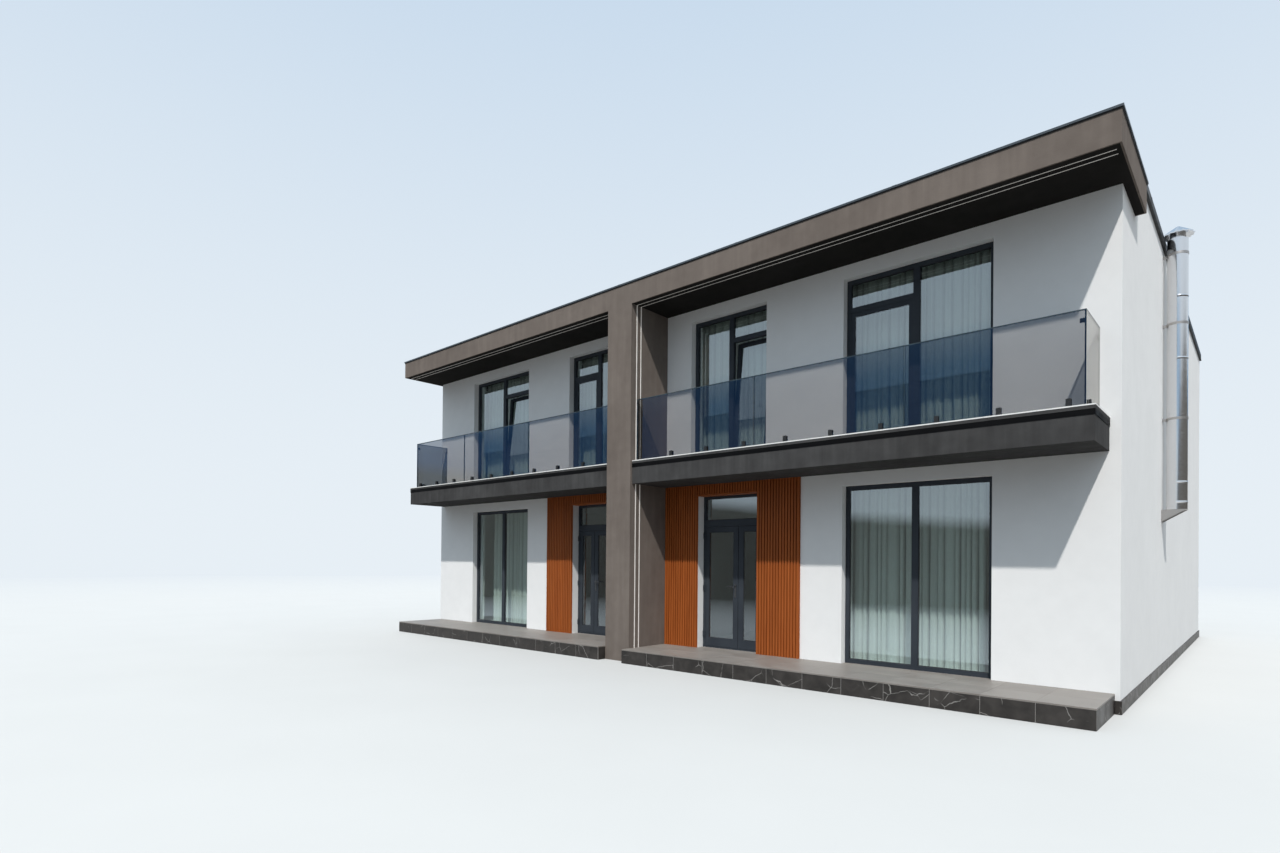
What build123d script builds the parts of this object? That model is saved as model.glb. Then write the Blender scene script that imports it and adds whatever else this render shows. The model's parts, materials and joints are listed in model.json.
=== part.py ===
from build123d import *
import math
import os

# Semi-detached modern house: two mirrored homes either side of a party wall.
# Millimetres. X runs along the street front from the party line, Y runs back, Z is height.
# The origin is on the ground at the centre of the wall footprint.
os.makedirs("parts", exist_ok=True)

# Plan of the walls
half_width = 7305
house_depth = 12500
wall = 350
party_wall_width = 300
fin_half = 290
fin_reach = 998
front = -house_depth / 2
back = house_depth / 2
inner_x = half_width - wall

# Levels above the ground
porch_level = 240
ground_head = 2945
upper_level = 3543
floor_slab_height = 300
window_upstand = 60
upper_head = 6098
soffit_level = 6303
roof_slab_height = 300
fascia_top = 6703
parapet_top = 6948
rear_sill_height = 900
upper_sill = upper_level + window_upstand
rear_upper_sill = upper_level + rear_sill_height

# Openings of the right-hand home, measured from the party line
door_left = 1036
door_width = 1238
outer_window_left = 3780
outer_window_width = 2110
inner_window_left = 853
inner_window_width = 1567
door_span = (door_left, door_left + door_width)
outer_span = (outer_window_left, outer_window_left + outer_window_width)
inner_span = (inner_window_left, inner_window_left + inner_window_width)

# Window frames and panes
window_reveal = 125
frame_depth = 70
frame_face = 62
mullion_face = 92
transom_centre = 5635
transom_face = 80
sash_face = 60
sash_setback = 8
tilt_angle = 4.0
pane_thickness = 28
pane_setback = 24

# Entrance doors
door_reveal = 165
door_frame_depth = 75
door_frame_face = 50
threshold_height = 25
transom_bar_bottom = 2396
transom_bar_height = 120
leaf_thickness = 56
leaf_gap = 6
meeting_gap = 10
meeting_bevel = 22
stop_lip = 18
stop_gap = 5
main_leaf_width = 688
outer_stile = 75
meeting_stile = 100
top_rail = 90
bottom_rail = 147
knuckle_radius = 9
knuckle_sides = 16
knuckle_stand_off = 11
knuckle_height = 100
knuckle_play = 0.3
hinge_plate = 32
hinge_overlap = 3
hinge_plate_thickness = 4
hinge_heights = (479, 1299, 2236)
handle_height = 1340
handle_plate_height = 230
handle_plate_width = 34
handle_plate_thickness = 8
handle_plate_rise = 40
handle_plate_corner = 6
edge_relief = 1
lever_reach = 52
lever_length = 135
lever_radius = 9
cylinder_drop = 80
cylinder_radius = 9
cylinder_stand_proud = 4

# Porch steps and plinths
porch_reach = 1185
porch_inset = 52
porch_tile = 20
porch_end = half_width - porch_inset
plinth_height = 160
plinth_thickness = 20

# Balconies and their glass guards
balcony_reach = 950
balcony_inset = 120
balcony_underside = 3134
balcony_tile = 54
tile_overhang = 11
drip_height = 64
drip_thickness = 6
guard_inset = 114
guard_end_inset = 110
guard_height = 1093
guard_thickness = 18
guard_lift = 25
guard_joint = 12
guard_corner_gap = 1
guard_panel_ends = (2734, 5050)
clamp_first = 1088
clamp_end_inset = 160
clamp_count = 9
clamp_width = 52
clamp_depth = 58
clamp_height = 105
return_clamp_line = 650
connector_size = 50
connector_thickness = 8
connector_drop = 95
balcony_end = half_width - balcony_inset
guard_line = balcony_reach - guard_inset
guard_end = balcony_end - guard_end_inset
clamp_spacing = (guard_end - clamp_end_inset - clamp_first) / (clamp_count - 1)

# Roof visor and copings
visor_overhang = 120
visor_return = 1046
soffit_panel = 30
fascia_wall = 22
visor_coping_height = 40
coping_lip = 18
coping_height = 150
coping_overhang = 30
coping_fall = 12
coping_drip = 10

# Recessed light lines on the fin and the soffit
light_width = 14
light_depth = 10
light_setbacks = (138, 247)
light_end_margin = 65

# Wood cladding around the entrance
cladding_end = 3075
cladding_thickness = 40

# Stainless flue on each outer side wall
flue_back = 4300
flue_radius = 140
flue_wall_gap = 50
flue_foot = 2683
flue_top = 7067
flue_joints = (2800, 3122, 5125, 6129)
joint_bead = 4
joint_height = 40
top_band_drop = 239
flue_bands = (4155, 5694, flue_top - top_band_drop)
band_height = 40
band_thickness = 5
bracket_arm = 22
wall_plate = 110
wall_plate_thickness = 6
console_height = 200
collar_radius = 105
collar_height = 70
cap_radius = 220
cap_height = 150
cap_rim = 18
cap_tip_radius = 26
cap_flutes = 16
flute_depth = 22

# Curtains behind the windows
curtain_gap = 90
curtain_thickness = 110
curtain_margin = 130
curtain_floor_gap = 15
curtain_ceiling_gap = 0.3


def block(x_limits, y_limits, z_limits):
    """Rectangular solid between pairs of limits."""
    sizes = [abs(b - a) for a, b in (x_limits, y_limits, z_limits)]
    middles = [(a + b) / 2 for a, b in (x_limits, y_limits, z_limits)]
    return Pos(*middles) * Box(*sizes)


def both_homes(solids):
    """The solids of the right-hand home and their mirror images in the left-hand home."""
    return list(solids) + [mirror(solid, about=Plane.YZ) for solid in solids]


def left_home(solids):
    """The mirror images alone."""
    return [mirror(solid, about=Plane.YZ) for solid in solids]


def save(name, shapes):
    """Write the solids of one sub-part to its STEP file."""
    solids = [solid for shape in shapes for solid in shape.solids()]
    export_step(solids[0] if len(solids) == 1 else Compound(solids), f"parts/{name}.step")


def gaps_between(spans, start, end):
    """The stretches of wall left between openings."""
    edges = [start] + [edge for span in sorted(spans) for edge in span] + [end]
    return list(zip(edges[0::2], edges[1::2]))


def mirrored_spans(spans):
    """Openings of both homes along the whole front."""
    return [(-b, -a) for a, b in spans] + list(spans)


# Ground slab, storey floor, roof and the walls between

def piers(spans, y_limits, z_limits):
    """Wall pieces standing between the openings of one storey."""
    stretches = gaps_between(mirrored_spans(spans), -inner_x, inner_x)
    return [block(stretch, y_limits, z_limits) for stretch in stretches]


def entry_recesses():
    """Where the porch tiles run on into the reveals of the door and the ground-floor window."""
    layer = (porch_level - porch_tile, porch_level)
    door = block(door_span, (front, front + door_reveal), layer)
    window = block(outer_span, (front, front + window_reveal), layer)
    return [door, window]


def build_shell():
    front_wall = (front, front + wall)
    rear_wall = (back - wall, back)
    inside = (front + wall, back - wall)
    full = (-inner_x, inner_x)
    slab = block(full, (front, back), (0, porch_level))
    for recess in both_homes(entry_recesses()):
        slab -= recess
    save("ground_slab", [slab])
    save("front_ground_piers", piers([door_span, outer_span], front_wall, (porch_level, ground_head)))
    save("front_floor_band", [block(full, front_wall, (ground_head, upper_sill))])
    save("front_upper_piers", piers([inner_span, outer_span], front_wall, (upper_sill, upper_head)))
    save("front_parapet_band", [block(full, front_wall, (upper_head, parapet_top))])
    save("rear_ground_piers", piers([inner_span, outer_span], rear_wall, (porch_level, ground_head)))
    save("rear_floor_band", [block(full, rear_wall, (ground_head, rear_upper_sill))])
    save("rear_upper_piers", piers([inner_span, outer_span], rear_wall, (rear_upper_sill, upper_head)))
    save("rear_parapet_band", [block(full, rear_wall, (upper_head, parapet_top))])
    side = block((inner_x, half_width), (front, back), (0, parapet_top))
    save("right_side_wall", [side])
    save("left_side_wall", left_home([side]))
    party = party_wall_width / 2
    save("party_wall", [block((-party, party), inside, (porch_level, soffit_level))])
    storey = block((party, inner_x), inside, (upper_level - floor_slab_height, upper_level))
    save("upper_floor_slab", both_homes([storey]))
    roof = (soffit_level, soffit_level + roof_slab_height)
    save("roof_slab", [block(full, inside, roof)])
    fin_top = fascia_top - visor_coping_height
    save("fin_wall", [block((-fin_half, fin_half), (front - fin_reach, front), (0, fin_top))])


# Porch, plinths and balcony

def build_porch():
    deck = (front - porch_reach, front)
    run = (fin_half, porch_end)
    save("porches", both_homes([block(run, deck, (0, porch_level - porch_tile))]))
    tiles = block(run, deck, (porch_level - porch_tile, porch_level))
    for recess in entry_recesses():
        tiles += recess
    save("porch_tiles", both_homes([tiles]))
    outer = half_width + plinth_thickness
    ring = block((porch_end, outer), (front - plinth_thickness, back), (0, plinth_height))
    side = ring - block((0, half_width), (front, back), (0, plinth_height))
    rear = block((-outer, outer), (back, back + plinth_thickness), (0, plinth_height))
    save("side_plinths", both_homes([side]))
    save("rear_plinth", [rear])


def build_balcony():
    tile_bottom = upper_level - balcony_tile
    deck = (front - balcony_reach, front)
    slab = block((fin_half, balcony_end), deck, (balcony_underside, tile_bottom))
    tiles = block(
        (fin_half, balcony_end + tile_overhang),
        (front - balcony_reach - tile_overhang, front),
        (tile_bottom, upper_level),
    )
    wrap = block(
        (fin_half, balcony_end + drip_thickness),
        (front - balcony_reach - drip_thickness, front),
        (tile_bottom - drip_height, tile_bottom),
    )
    save("right_balcony", [slab])
    save("left_balcony", left_home([slab]))
    save("balcony_tiles", both_homes([tiles]))
    save("balcony_drips", both_homes([wrap - slab]))


def guard_panes():
    """Frameless panes along the front, and one back to the wall at the outer end."""
    z_limits = (upper_level + guard_lift, upper_level + guard_height)
    half = guard_thickness / 2
    line = front - guard_line
    joints = [fin_half + guard_joint] + list(guard_panel_ends) + [guard_end + half]
    panes = []
    for start, end in zip(joints, joints[1:]):
        stop = end if end == joints[-1] else end - guard_joint
        panes.append(block((start, stop), (line - half, line + half), z_limits))
    corner = line + half + guard_corner_gap
    panes.append(block((guard_end - half, guard_end + half), (corner, front), z_limits))
    return panes


def guard_clamps():
    """Base clamps that grip the lower edge of the panes, and small corner and wall connectors."""
    foot = (upper_level, upper_level + clamp_height)
    line = front - guard_line
    half_w = clamp_width / 2
    half_d = clamp_depth / 2
    clamps = []
    for i in range(clamp_count):
        x = clamp_first + i * clamp_spacing
        clamps.append(block((x - half_w, x + half_w), (line - half_d, line + half_d), foot))
    y = front - return_clamp_line
    x_limits = (guard_end - half_d, guard_end + half_d)
    clamps.append(block(x_limits, (y - half_w, y + half_w), foot))
    top = upper_level + guard_height - connector_drop
    z_limits = (top - connector_size, top)
    inside_x = guard_end - guard_thickness / 2
    inside_y = line + guard_thickness / 2
    angle = block((inside_x - connector_size, inside_x), (inside_y, inside_y + connector_size), z_limits)
    angle -= block(
        (inside_x - connector_size, inside_x - connector_thickness),
        (inside_y + connector_thickness, inside_y + connector_size),
        z_limits,
    )
    wall_clip = block(
        (inside_x - connector_thickness, inside_x), (front - connector_size, front), z_limits
    )
    panes = guard_panes()
    clamps = [clamp - panes for clamp in clamps]
    return clamps + [angle, wall_clip]


def build_guards():
    panes = guard_panes()
    save("right_guard", panes)
    save("left_guard", left_home(panes))
    save("guard_clamps", both_homes(guard_clamps()))


# Roof visor, copings and light lines

light_lines = [fin_reach - setback for setback in light_setbacks]


def light_limits(line):
    """Front and back of one light line, given its distance in front of the wall."""
    return (front - line - light_width / 2, front - line + light_width / 2)


def build_visor():
    outer = half_width + visor_overhang
    deep = (front - fin_reach, front)
    body_top = fascia_top - visor_coping_height
    visor = block((fin_half, outer), deep, (soffit_level, body_top))
    visor += block((half_width, outer), (front, front + visor_return), (soffit_level, body_top))
    recess = (soffit_level, soffit_level + soffit_panel)
    panel = block((fin_half, outer - fascia_wall), (front - fin_reach + fascia_wall, front), recess)
    return_run = (front, front + visor_return - fascia_wall)
    panel += block((half_width, outer - fascia_wall), return_run, recess)
    visor -= panel
    save("right_visor", [visor])
    save("left_visor", left_home([visor]))
    light_cut = (soffit_level, soffit_level + light_depth)
    lights = [
        block((fin_half, outer - light_end_margin), light_limits(line), light_cut)
        for line in light_lines
    ]
    save("soffits", both_homes([panel - lights]))
    cap = (body_top, fascia_top)
    lip = outer + coping_lip
    front_edge = front - fin_reach - coping_lip
    save("visor_coping", [block((-lip, lip), (front_edge, front), cap)])
    side_cap = block((half_width, lip), (front, front + visor_return + coping_lip), cap)
    save("visor_return_copings", both_homes([side_cap]))


def coping_section(plane, outer, inner):
    """Sheet cap across a parapet: it falls to the roof side, and its outer lower edge kicks out."""
    outward = coping_drip if outer > inner else -coping_drip
    top = parapet_top + coping_height
    outline = Polyline(
        (inner, parapet_top),
        (inner, top - coping_fall),
        (outer, top),
        (outer, parapet_top + coping_drip),
        (outer + outward, parapet_top),
        close=True,
    )
    return plane * make_face(outline)


def build_copings():
    reach = half_width + coping_overhang
    inner = inner_x - coping_overhang
    length = house_depth + 2 * coping_overhang
    side = extrude(coping_section(Plane.XZ, reach, inner), amount=length / 2, both=True)
    save("side_copings", both_homes([side]))
    caps = []
    for face, inward in ((front, 1), (back, -1)):
        edges = (face - inward * coping_overhang, face + inward * (wall + coping_overhang))
        caps.append(extrude(coping_section(Plane.YZ, *edges), amount=inner, both=True))
    save("cross_copings", caps)


def build_light_lines():
    deep = (fin_half, fin_half + light_depth)
    outer = half_width + visor_overhang - light_end_margin
    strips = []
    for line in light_lines:
        y_limits = light_limits(line)
        strips.append(block((fin_half, outer), y_limits, (soffit_level, soffit_level + light_depth)))
        if line > balcony_reach + tile_overhang:
            strips.append(block(deep, y_limits, (porch_level, soffit_level)))
        else:
            strips.append(block(deep, y_limits, (porch_level, balcony_underside)))
            strips.append(block(deep, y_limits, (upper_level, soffit_level)))
    save("light_lines", both_homes(strips))


# Wood cladding beside and over the entrance

def build_cladding():
    layer = (front - cladding_thickness, front)
    panel = block((fin_half, cladding_end), layer, (porch_level, balcony_underside))
    panel -= block(door_span, layer, (porch_level, ground_head))
    save("wood_cladding", both_homes([panel]))


# Windows

def frame_layer(face, direction):
    """Front and back of the window frames in a wall whose outer face is at the given Y."""
    outer = face + direction * window_reveal
    return tuple(sorted((outer, outer + direction * frame_depth)))


def pane_layer(face, direction):
    """Front and back of the glass inside the frames."""
    outer = face + direction * (window_reveal + pane_setback)
    return tuple(sorted((outer, outer + direction * pane_thickness)))


def plain_window(span, z_limits, face, direction):
    """Frame with one middle mullion and two fixed panes."""
    middle = sum(span) / 2
    low = z_limits[0] + frame_face
    high = z_limits[1] - frame_face
    lights = [
        (span[0] + frame_face, middle - mullion_face / 2),
        (middle + mullion_face / 2, span[1] - frame_face),
    ]
    layer = frame_layer(face, direction)
    frame = block(span, layer, z_limits)
    for light in lights:
        frame -= block(light, layer, (low, high))
    panes = [block(light, pane_layer(face, direction), (low, high)) for light in lights]
    return frame, panes


def sash_window(span, sash_first, tilted):
    """Balcony window: a fixed pane, and a top light over a tilting sash."""
    z_limits = (upper_sill, upper_head)
    low = z_limits[0] + frame_face
    high = z_limits[1] - frame_face
    middle = sum(span) / 2
    lights = [
        (span[0] + frame_face, middle - mullion_face / 2),
        (middle + mullion_face / 2, span[1] - frame_face),
    ]
    sash_light, fixed_light = lights if sash_first else reversed(lights)
    top_light_low = transom_centre + transom_face / 2
    sash_high = transom_centre - transom_face / 2
    layer = frame_layer(front, 1)
    glass_layer = pane_layer(front, 1)
    frame = block(span, layer, z_limits)
    frame -= block(fixed_light, layer, (low, high))
    frame -= block(sash_light, layer, (top_light_low, high))
    frame -= block(sash_light, layer, (low, sash_high))
    panes = [
        block(fixed_light, glass_layer, (low, high)),
        block(sash_light, glass_layer, (top_light_low, high)),
    ]
    sash_layer = (layer[0] + sash_setback, layer[1])
    glazed = (sash_light[0] + sash_face, sash_light[1] - sash_face)
    glazed_z = (low + sash_face, sash_high - sash_face)
    sash = block(sash_light, sash_layer, (low, sash_high)) - block(glazed, sash_layer, glazed_z)
    sash_pane = block(glazed, glass_layer, glazed_z)
    if tilted:
        hinge_line = Axis((0, layer[1], low), (1, 0, 0))
        sash = sash.rotate(hinge_line, -tilt_angle)
        sash_pane = sash_pane.rotate(hinge_line, -tilt_angle)
    return frame, sash, panes + [sash_pane]


def build_front_windows():
    low_frame, low_panes = plain_window(outer_span, (porch_level, ground_head), front, 1)
    frames = {"right": [low_frame], "left": [low_frame]}
    sashes = []
    glass = {"right": list(low_panes), "left": list(low_panes)}
    for side, tilted_window in (("right", "inner"), ("left", "outer")):
        for window, span in (("inner", inner_span), ("outer", outer_span)):
            frame, sash, panes = sash_window(span, window == "outer", window == tilted_window)
            frames[side].append(frame)
            glass[side] += panes
            sashes += [sash] if side == "right" else left_home([sash])
    save("right_window_frames", frames["right"])
    save("left_window_frames", left_home(frames["left"]))
    save("balcony_sashes", sashes)
    save("front_glass", glass["right"] + left_home(glass["left"]) + both_homes([transom_pane()]))


def build_rear_windows():
    frames = []
    panes = []
    storeys = ((porch_level, ground_head), (rear_upper_sill, upper_head))
    for z_limits in storeys:
        for span in (inner_span, outer_span):
            frame, lights = plain_window(span, z_limits, back, -1)
            frames.append(frame)
            panes += lights
    save("rear_window_frames", both_homes(frames))
    save("rear_glass", both_homes(panes))


# Entrance: frame with a light over the doors, a main leaf and a narrow side leaf

door_face = front + door_reveal
frame_back = door_face + door_frame_depth
leaf_back = door_face + leaf_thickness
jamb_left = door_span[0] + door_frame_face
jamb_right = door_span[1] - door_frame_face
leaf_low = porch_level + threshold_height + leaf_gap
leaf_high = transom_bar_bottom - leaf_gap
main_span = (jamb_left + leaf_gap, jamb_left + leaf_gap + main_leaf_width)
side_span = (main_span[1] + meeting_gap, jamb_right - leaf_gap)
pivot_y = door_face - knuckle_stand_off
main_pivot_x = jamb_left + leaf_gap / 2
side_pivot_x = jamb_right - leaf_gap / 2
light_low = transom_bar_bottom + transom_bar_height
light_high = ground_head - door_frame_face


def transom_pane():
    y = door_face + pane_setback
    return block((jamb_left, jamb_right), (y, y + pane_thickness), (light_low, light_high))


def hinge_half(pivot_x, towards, low):
    """A knuckle and its flat plate on the outer face, one half of each hinge."""
    y_limits = (door_face - hinge_plate_thickness, door_face)
    half = knuckle_height / 2 - knuckle_play / 2
    section = Pos(pivot_x, pivot_y, low) * RegularPolygon(knuckle_radius, knuckle_sides)
    knuckle = extrude(section, amount=half)
    run = sorted((pivot_x + towards * (knuckle_radius - hinge_overlap), pivot_x + towards * hinge_plate))
    plate = block(run, y_limits, (low, low + half))
    arm = block(
        sorted((pivot_x, pivot_x + towards * (knuckle_radius - edge_relief))),
        (pivot_y, door_face),
        (low, low + half),
    )
    gap_side = pivot_x + towards * leaf_gap / 2
    leaf_side = sorted((gap_side, gap_side + towards * hinge_plate))
    arm &= block(leaf_side, (pivot_y, door_face), (low, low + half))
    return knuckle + plate + arm


def door_frame():
    outer = block(door_span, (door_face, frame_back), (porch_level, ground_head))
    deep = (door_face, frame_back)
    leaf_zone = (door_face, leaf_back + stop_gap)
    way = (jamb_left, jamb_right)
    outer -= block(way, deep, (light_low, light_high))
    outer -= block(way, leaf_zone, (porch_level + threshold_height, transom_bar_bottom))
    narrow = (jamb_left + stop_lip, jamb_right - stop_lip)
    outer -= block(narrow, deep, (porch_level + threshold_height, transom_bar_bottom - stop_lip))
    for height in hinge_heights:
        low = height - knuckle_height / 2
        outer += hinge_half(main_pivot_x, -1, low)
        outer += hinge_half(side_pivot_x, 1, low)
    return outer


def leaf(span, hinge_side, pivot_x):
    """Glazed leaf with rails, stiles, a bevelled meeting edge and the upper hinge halves."""
    stiles = (outer_stile, meeting_stile) if hinge_side < 0 else (meeting_stile, outer_stile)
    body = block(span, (door_face, leaf_back), (leaf_low, leaf_high))
    free_x = span[1] if hinge_side < 0 else span[0]
    free_edge = body.edges().filter_by(Axis.Z).sort_by_distance((free_x, leaf_back, leaf_low))[0]
    body = chamfer(free_edge, meeting_bevel)
    glazed = (span[0] + stiles[0], span[1] - stiles[1])
    glazed_z = (leaf_low + bottom_rail, leaf_high - top_rail)
    body -= block(glazed, (door_face, leaf_back), glazed_z)
    y = door_face + (leaf_thickness - pane_thickness) / 2
    pane = block(glazed, (y, y + pane_thickness), glazed_z)
    towards = -hinge_side
    for height in hinge_heights:
        body += hinge_half(pivot_x, towards, height + knuckle_play / 2)
    return body, pane


def handle_half(outward):
    """Back plate, neck and lever on one face of the main leaf; outward is -1 outside, 1 inside."""
    face = door_face if outward < 0 else leaf_back
    centre = main_span[1] - meeting_stile / 2
    plate_y = sorted((face, face + outward * handle_plate_thickness))
    plate_top = handle_height + handle_plate_rise
    z_limits = (plate_top - handle_plate_height, plate_top)
    plate = block(
        (centre - handle_plate_width / 2, centre + handle_plate_width / 2), plate_y, z_limits
    )
    plate = chamfer(plate.edges().filter_by(Axis.Y), handle_plate_corner)
    reach = face + outward * lever_reach
    lever_y = reach - outward * lever_radius
    neck_length = lever_reach - lever_radius
    neck = Pos(centre, (face + lever_y) / 2, handle_height) * Rot(90, 0, 0)
    neck = neck * Cylinder(lever_radius - edge_relief, neck_length)
    lever = Pos(centre - (lever_length - lever_radius) / 2, lever_y, handle_height) * Rot(0, 90, 0)
    lever = lever * Cylinder(lever_radius, lever_length + lever_radius)
    barrel_reach = handle_plate_thickness + cylinder_stand_proud
    barrel = Pos(centre, face + outward * barrel_reach / 2, handle_height - cylinder_drop)
    barrel = barrel * Rot(90, 0, 0) * Cylinder(cylinder_radius, barrel_reach)
    return plate + neck + lever + barrel


def build_entrance():
    frame = door_frame()
    main, main_pane = leaf(main_span, -1, main_pivot_x)
    side, side_pane = leaf(side_span, 1, side_pivot_x)
    handles = [handle_half(-1), handle_half(1)]
    pieces = {
        "door_frame": [frame],
        "main_door_leaf": [main],
        "main_door_glass": [main_pane],
        "door_handles": handles,
        "side_door_leaf": [side],
        "side_door_glass": [side_pane],
    }
    for name, solids in pieces.items():
        save(f"right_{name}", solids)
        save(f"left_{name}", left_home(solids))


# Flue: sections with bead joints, a fluted conical cap, wall bands and a foot console

flue_x = half_width + flue_wall_gap + flue_radius
flue_y = front + flue_back


def flue_pipe():
    """One turned outline: sections with a raised bead at each joint, and a narrower collar on top."""
    outline = [(0, flue_foot), (flue_radius, flue_foot)]
    for height in flue_joints:
        outline.append((flue_radius, height - joint_height / 2))
        outline.append((flue_radius + joint_bead, height))
        outline.append((flue_radius, height + joint_height / 2))
    outline += [(flue_radius, flue_top), (collar_radius, flue_top)]
    outline += [(collar_radius, flue_top + collar_height), (0, flue_top + collar_height)]
    pipe = revolve(Plane.XZ * make_face(Polyline(*outline, close=True)), axis=Axis.Z)
    return Pos(flue_x, flue_y, 0) * pipe


def folded_ring(radius, height):
    """Corners of the cap's star-shaped section: folds that stand out and in by turns."""
    valley = radius * (1 - flute_depth / cap_radius)
    ring = []
    for i in range(2 * cap_flutes):
        turn = math.pi * i / cap_flutes
        reach = valley if i % 2 else radius
        ring.append((reach * math.cos(turn), reach * math.sin(turn), height))
    return ring


def flue_cap():
    """Folded sheet cone over a low upright rim, made of its flat facets."""
    base = flue_top + collar_height
    rings = [
        folded_ring(cap_radius, base),
        folded_ring(cap_radius, base + cap_rim),
        folded_ring(cap_tip_radius, base + cap_height),
    ]
    outlines = [rings[0], rings[-1]]
    for lower, upper in zip(rings, rings[1:]):
        for i in range(len(lower)):
            j = (i + 1) % len(lower)
            outlines.append([lower[i], lower[j], upper[j], upper[i]])
    facets = [Face(Wire.make_polygon(outline, close=True)) for outline in outlines]
    return Pos(flue_x, flue_y, 0) * Solid(Shell(facets))


def flue_brackets():
    """Bands that hug the pipe, each on an arm from a wall plate, and the foot console."""
    pieces = []
    for height in flue_bands:
        z_limits = (height - band_height / 2, height + band_height / 2)
        band = Pos(flue_x, flue_y, height) * Cylinder(flue_radius + band_thickness, band_height)
        arm = block((half_width, flue_x), (flue_y - bracket_arm / 2, flue_y + bracket_arm / 2), z_limits)
        plate_half = wall_plate / 2
        plate = block(
            (half_width, half_width + wall_plate_thickness),
            (flue_y - plate_half, flue_y + plate_half),
            z_limits,
        )
        pieces.append(band + arm + plate)
    shelf = (flue_foot - wall_plate_thickness, flue_foot)
    reach = flue_x + flue_radius
    side = (flue_y - flue_radius, flue_y + flue_radius)
    console = block((half_width, reach), side, shelf)
    console += block(
        (half_width, half_width + wall_plate_thickness), side, (flue_foot - console_height, flue_foot)
    )
    profile = Plane.XZ * Polyline(
        (half_width, flue_foot), (reach, flue_foot), (half_width, flue_foot - console_height), close=True
    )
    web = extrude(make_face(profile), amount=wall_plate_thickness / 2, both=True)
    for y in (side[0] + wall_plate_thickness, side[1] - wall_plate_thickness):
        console += Pos(0, y, 0) * web
    pipe = flue_pipe()
    return [piece - pipe for piece in pieces] + [console]


def build_flues():
    save("flue_pipes", both_homes([flue_pipe()]))
    save("flue_caps", both_homes([flue_cap()]))
    save("flue_brackets", both_homes(flue_brackets()))


# Sheer curtains, simple closed solids behind the windows

def curtain(span, floor, ceiling, face, inward):
    """A drop from ceiling to floor behind one window of the wall whose outer face is at the given Y."""
    near = face + inward * (wall + curtain_gap)
    run = (span[0] - curtain_margin, span[1] + curtain_margin)
    heights = (floor + curtain_floor_gap, ceiling - curtain_ceiling_gap)
    return block(run, (near, near + inward * curtain_thickness), heights)


def build_curtains():
    ground = (porch_level, upper_level - floor_slab_height)
    upper = (upper_level, soffit_level)
    drops = [curtain(outer_span, *ground, front, 1)]
    for span in (inner_span, outer_span):
        drops.append(curtain(span, *upper, front, 1))
        drops.append(curtain(span, *ground, back, -1))
        drops.append(curtain(span, *upper, back, -1))
    save("right_curtains", drops)
    save("left_curtains", left_home(drops))


build_shell()
build_porch()
build_balcony()
build_guards()
build_visor()
build_copings()
build_light_lines()
build_cladding()
build_front_windows()
build_rear_windows()
build_entrance()
build_flues()
build_curtains()
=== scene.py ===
import json
import math
import random

import bmesh
import bpy
from mathutils import Matrix, Vector


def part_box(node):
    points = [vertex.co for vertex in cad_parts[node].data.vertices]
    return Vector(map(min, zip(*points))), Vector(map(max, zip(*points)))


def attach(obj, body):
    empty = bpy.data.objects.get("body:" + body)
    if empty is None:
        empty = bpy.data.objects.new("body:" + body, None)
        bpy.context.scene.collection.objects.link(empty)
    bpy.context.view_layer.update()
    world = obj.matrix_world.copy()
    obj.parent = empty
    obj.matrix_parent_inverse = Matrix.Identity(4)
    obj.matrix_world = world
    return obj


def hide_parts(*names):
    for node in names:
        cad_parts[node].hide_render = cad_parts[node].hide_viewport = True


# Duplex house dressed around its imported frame.
# Metres, ground at Z = 0, the street front towards -Y, the party line at X = 0.
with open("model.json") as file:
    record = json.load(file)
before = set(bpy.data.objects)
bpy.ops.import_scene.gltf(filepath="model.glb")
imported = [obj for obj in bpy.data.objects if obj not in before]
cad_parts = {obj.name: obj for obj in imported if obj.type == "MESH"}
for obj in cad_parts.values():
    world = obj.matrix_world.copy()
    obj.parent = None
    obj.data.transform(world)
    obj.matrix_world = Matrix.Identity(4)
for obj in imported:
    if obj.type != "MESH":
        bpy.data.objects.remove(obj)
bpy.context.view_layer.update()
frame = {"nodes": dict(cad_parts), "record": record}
HOUSE = "house"
SIDES = {"right": 1, "left": -1}
DOORS = ("main", "side")
front_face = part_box("front_floor_band")[0].y
back_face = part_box("rear_floor_band")[1].y
fin_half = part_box("fin_wall")[1].x
side_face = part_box("right_side_wall")[1].x
curtain_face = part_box("right_curtains")[1].y
# Depths behind the curtains' face between which the sheers' painted fold shade fades from full to
# none.
valley_setback, crest_setback = 0.100, 0.022
fold_valley, fold_crest = curtain_face - valley_setback, curtain_face - crest_setback


# Node trees

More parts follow.
